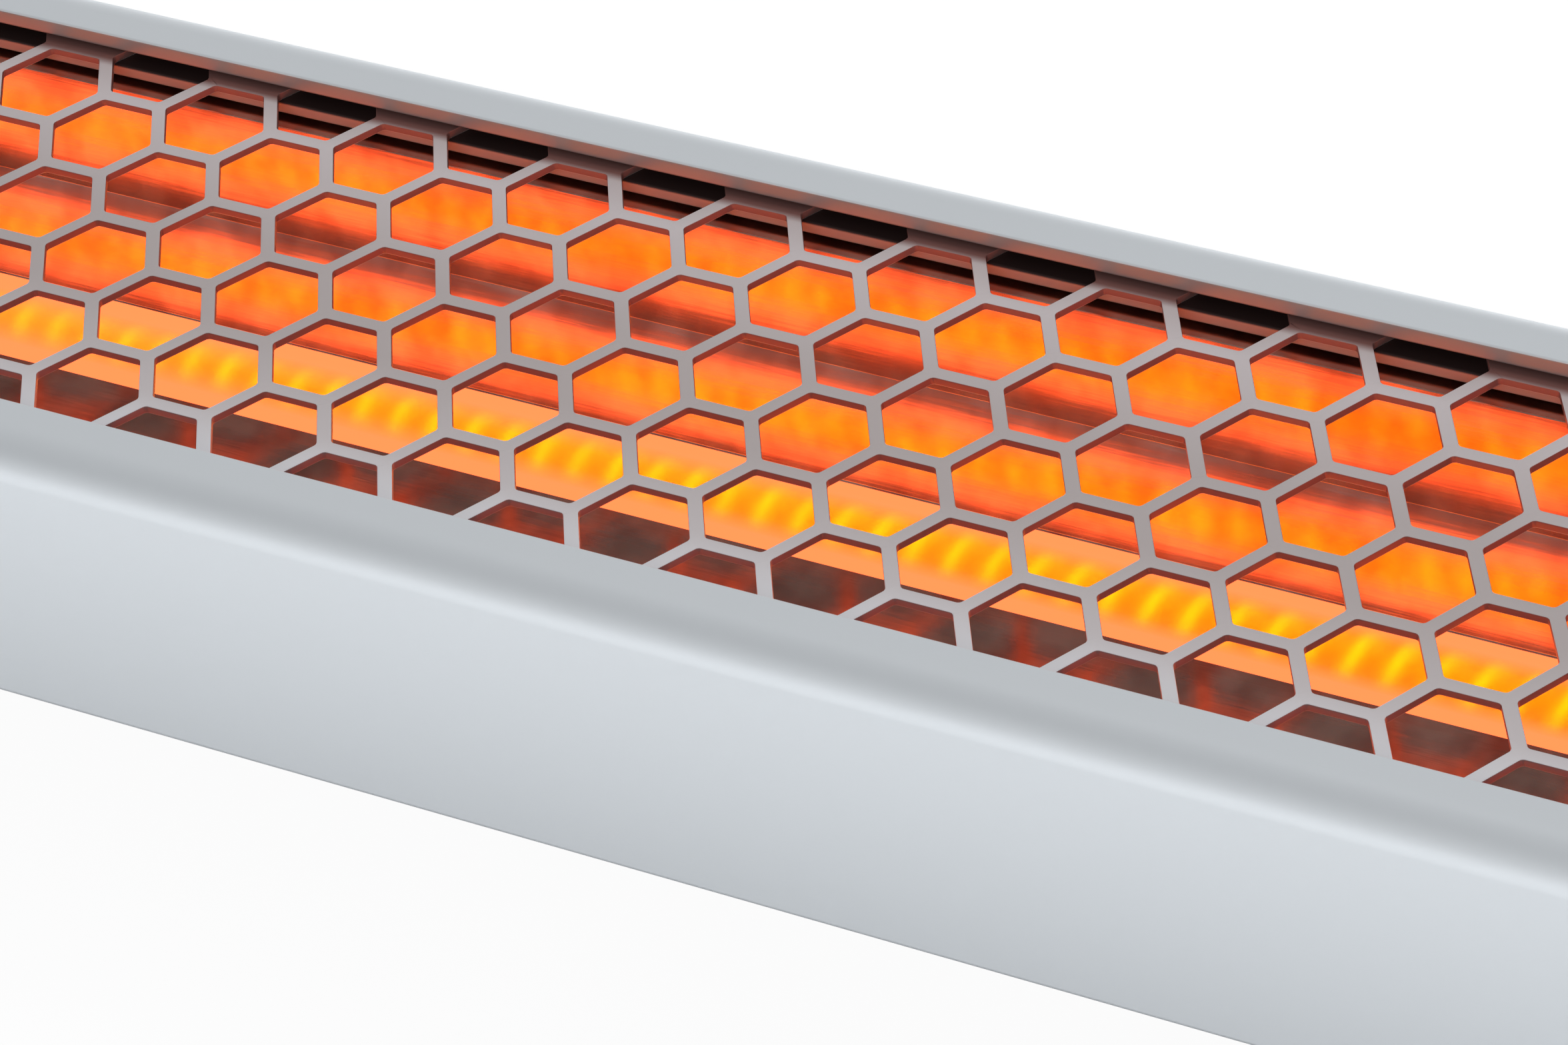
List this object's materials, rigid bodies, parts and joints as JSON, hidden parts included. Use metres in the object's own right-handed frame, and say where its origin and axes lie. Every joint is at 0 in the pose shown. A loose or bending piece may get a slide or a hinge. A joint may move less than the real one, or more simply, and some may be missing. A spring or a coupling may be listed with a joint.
{
  "type": "electric bar heater",
  "caption": "Slim aluminium heater with a glowing quartz bar in a folded reflector behind a honeycomb guard, on two tilting feet with lock knobs.",
  "frame": {"origin": "centre of the four screw holes, on the mounting face of the two feet", "axes": "+X along the heater, away from the cable gland; +Y across it; +Z from the mounting face to the guard"},
  "size_m": [0.6956, 0.117, 0.109],
  "materials": {
    "casing_silver": "satin anodised extrusion",
    "cap_silver": "die-cast, fine satin coat",
    "guard_grey": "satin grey coat on stamped steel",
    "mirror_aluminium": "polished, folded sheet",
    "plated_sheet": "zinc-plated sheet",
    "bracket_grey": "satin grey coat on folded steel",
    "plated_fasteners": "bright zinc plate",
    "quartz_glow": "satin quartz, lit from inside",
    "coil_glow": "resistance wire at full heat",
    "steatite": "unglazed, pressed and fired",
    "spring_steel": "bare rolled strip",
    "block_white": "moulded",
    "brass": "turned",
    "lead_brown": "silicone insulation",
    "lead_blue": "silicone insulation",
    "lead_green": "silicone insulation",
    "gasket_rubber": "silicone sheet",
    "gland_black": "moulded nylon",
    "knob_black": "moulded, fine texture",
    "washer_black": "cut nylon sheet"
  },
  "bodies": {
    "mount": {"foot_left": "bracket_grey", "foot_right": "bracket_grey"},
    "heater": {"arm_left": "bracket_grey", "arm_right": "bracket_grey", "pivot_bolts": "plated_fasteners", "pivot_washers": "washer_black", "arm_screws": "plated_fasteners", "arm_nuts": "plated_fasteners", "casing": "casing_silver", "end_cap_left": "cap_silver", "end_cap_right": "cap_silver", "end_gasket_left": "gasket_rubber", "end_gasket_right": "gasket_rubber", "end_cap_screws": "plated_fasteners", "guard": "guard_grey", "front_blank_left": "guard_grey", "front_blank_right": "guard_grey", "reflector": "mirror_aluminium", "bulkhead_left": "plated_sheet", "bulkhead_right": "plated_sheet", "bulkhead_rivets": "plated_fasteners", "heat_shield": "plated_sheet", "quartz_tube": "quartz_glow", "heating_coil": "coil_glow", "ceramic_cap_left": "steatite", "ceramic_cap_right": "steatite", "terminal_pins": "plated_fasteners", "terminal_nuts": "plated_fasteners", "ceramic_clips": "spring_steel", "clip_screws": "plated_fasteners", "terminal_block": "block_white", "terminal_screws": "brass", "block_screw": "plated_fasteners", "lead_live": "lead_brown", "lead_neutral": "lead_blue", "lead_earth": "lead_green", "earth_screw": "brass", "gland_body": "gland_black", "gland_locknut": "gland_black", "gland_cap": "gland_black", "gland_seal": "gasket_rubber"},
    "knob_left": {"lock_knob_left": "knob_black", "knob_insert_left": "brass"},
    "knob_right": {"lock_knob_right": "knob_black", "knob_insert_right": "brass"}
  },
  "joints": [
    {"name": "tilt", "type": "hinge", "parent": "mount", "child": "heater", "pos_m": [0, 0, 0.03], "axis": [1, 0, 0], "range_deg": [-45, 45]},
    {"name": "lock_left", "type": "hinge", "parent": "heater", "child": "knob_left", "pos_m": [-0.2403, 0, 0.03], "axis": [-1, 0, 0], "range_deg": [0, 360]},
    {"name": "lock_right", "type": "hinge", "parent": "heater", "child": "knob_right", "pos_m": [0.2403, 0, 0.03], "axis": [1, 0, 0], "range_deg": [0, 360]}
  ]
}
